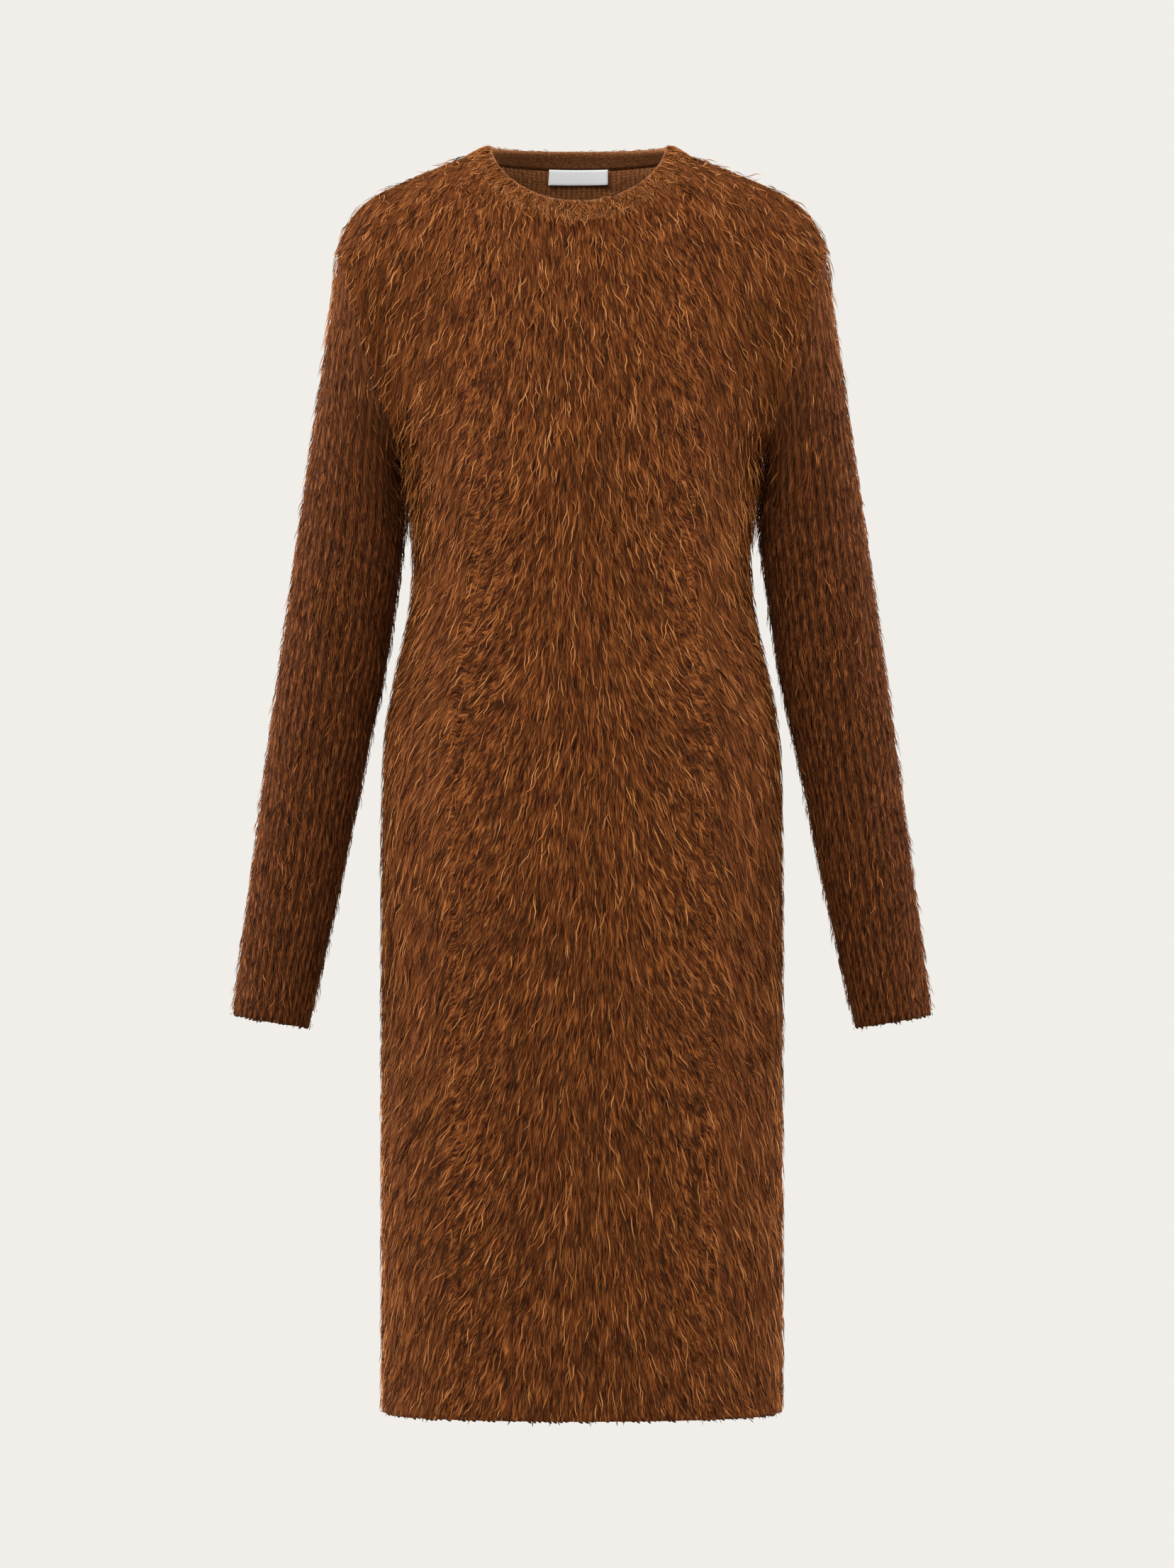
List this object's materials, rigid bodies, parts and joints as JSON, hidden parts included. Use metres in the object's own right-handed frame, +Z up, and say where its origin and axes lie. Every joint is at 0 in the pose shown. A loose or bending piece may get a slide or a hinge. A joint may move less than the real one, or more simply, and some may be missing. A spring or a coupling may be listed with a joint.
{
  "type": "sweater dress worn over a person's shoulders",
  "caption": "Knee-length sweater dress in a long-haired brushed knit, with a crew neck and long straight sleeves, filled out as if worn.",
  "frame": {"origin": "midway between the shoulders, at the height where they carry the dress", "axes": "+Z up along the dress, +X towards the wearer's left, -Y out of the front"},
  "size_m": [0.595, 0.226, 1.072],
  "materials": {
    "long_haired_knit": "long brushed hair, reddish brown with paler tips",
    "short_haired_rib": "ribbed knit with short brushed hair",
    "neck_rib": "fine rib with short brushed hair",
    "woven_tape": "smooth blank woven tape"
  },
  "bodies": {
    "root": {"front": "long_haired_knit", "back": "long_haired_knit", "sleeve_left": "short_haired_rib", "sleeve_right": "short_haired_rib", "neckband": "neck_rib", "neck_label": "woven_tape"}
  },
  "joints": []
}
